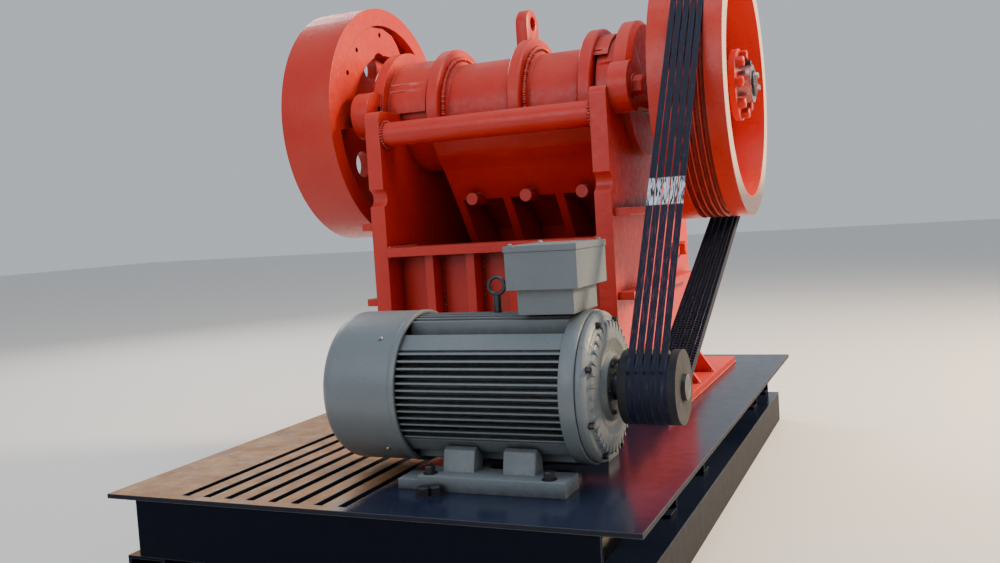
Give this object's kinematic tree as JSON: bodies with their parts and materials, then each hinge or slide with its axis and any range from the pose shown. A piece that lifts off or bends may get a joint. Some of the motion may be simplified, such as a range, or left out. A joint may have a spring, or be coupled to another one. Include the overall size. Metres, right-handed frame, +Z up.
{
  "type": "jaw crusher",
  "caption": "Skid-mounted single-toggle jaw crusher with a flywheel, a belt wheel and a foot-mounted motor driving it by V-belts.",
  "frame": {"origin": "on the ground under the middle of the skid", "axes": "+Z up, +X along the eccentric shaft from the flywheel to the belt wheel, +Y from the motor to the crusher"},
  "size_m": [1.554, 2.38, 1.738],
  "materials": {
    "crusher_paint": "satin, weathered",
    "skid_paint": "glossy, dusty",
    "motor_paint": "satin",
    "pulley_paint": "satin",
    "belt_rubber": "matte",
    "bare_steel": "machined",
    "jaw_steel": "rough cast",
    "spring_steel": "black"
  },
  "bodies": {
    "machine_frame": {"rail_left": "skid_paint", "rail_right": "skid_paint", "front_beam": "skid_paint", "rear_beam": "skid_paint", "middle_beams": "skid_paint", "ground_tie": "skid_paint", "deck_plate": "skid_paint", "deck_slats": "skid_paint", "motor_frame": "motor_paint", "fan_cover": "motor_paint", "drive_end_shield": "motor_paint", "motor_feet": "motor_paint", "terminal_box": "motor_paint", "terminal_box_lid": "motor_paint", "lifting_eyebolt": "bare_steel", "drive_belts": "belt_rubber", "side_plate_left": "crusher_paint", "side_plate_right": "crusher_paint", "front_wall": "crusher_paint", "rear_wall": "crusher_paint", "rear_shelf": "crusher_paint", "tie_bar": "crusher_paint", "foot_left": "crusher_paint", "foot_right": "crusher_paint", "side_ribs": "crusher_paint", "bearing_housing_left": "crusher_paint", "bearing_housing_right": "crusher_paint", "fixed_jaw_plate": "jaw_steel", "cheek_plates": "jaw_steel", "toggle_block": "crusher_paint", "toggle_plate": "jaw_steel"},
    "main_shaft": {"eccentric_shaft": "bare_steel", "flywheel": "crusher_paint", "belt_wheel": "crusher_paint"},
    "motor_rotor": {"motor_shaft": "bare_steel", "motor_pulley": "pulley_paint"},
    "swing_jaw": {"swing_jaw": "crusher_paint", "jaw_lifting_eye": "crusher_paint", "swing_jaw_plate": "jaw_steel", "tension_rod": "bare_steel", "tension_spring": "spring_steel"}
  },
  "joints": [
    {"name": "main_shaft_spin", "type": "hinge", "parent": "machine_frame", "child": "main_shaft", "pos_m": [0, 0.157, 1.317], "axis": [1, 0, 0], "continuous": true},
    {"name": "motor_spin", "type": "hinge", "parent": "machine_frame", "child": "motor_rotor", "pos_m": [0.5, -0.785, 0.507], "axis": [1, 0, 0], "continuous": true},
    {"name": "swing_jaw_hang", "type": "hinge", "parent": "main_shaft", "child": "swing_jaw", "pos_m": [-0.032, 0.16382, 1.30969], "axis": [1, 0, 0], "continuous": true}
  ],
  "couplings": [
    {"joint": "motor_spin", "follows": "main_shaft_spin", "ratio": 4.9286},
    {"joint": "swing_jaw_hang", "follows": "main_shaft_spin", "ratio": -1}
  ]
}
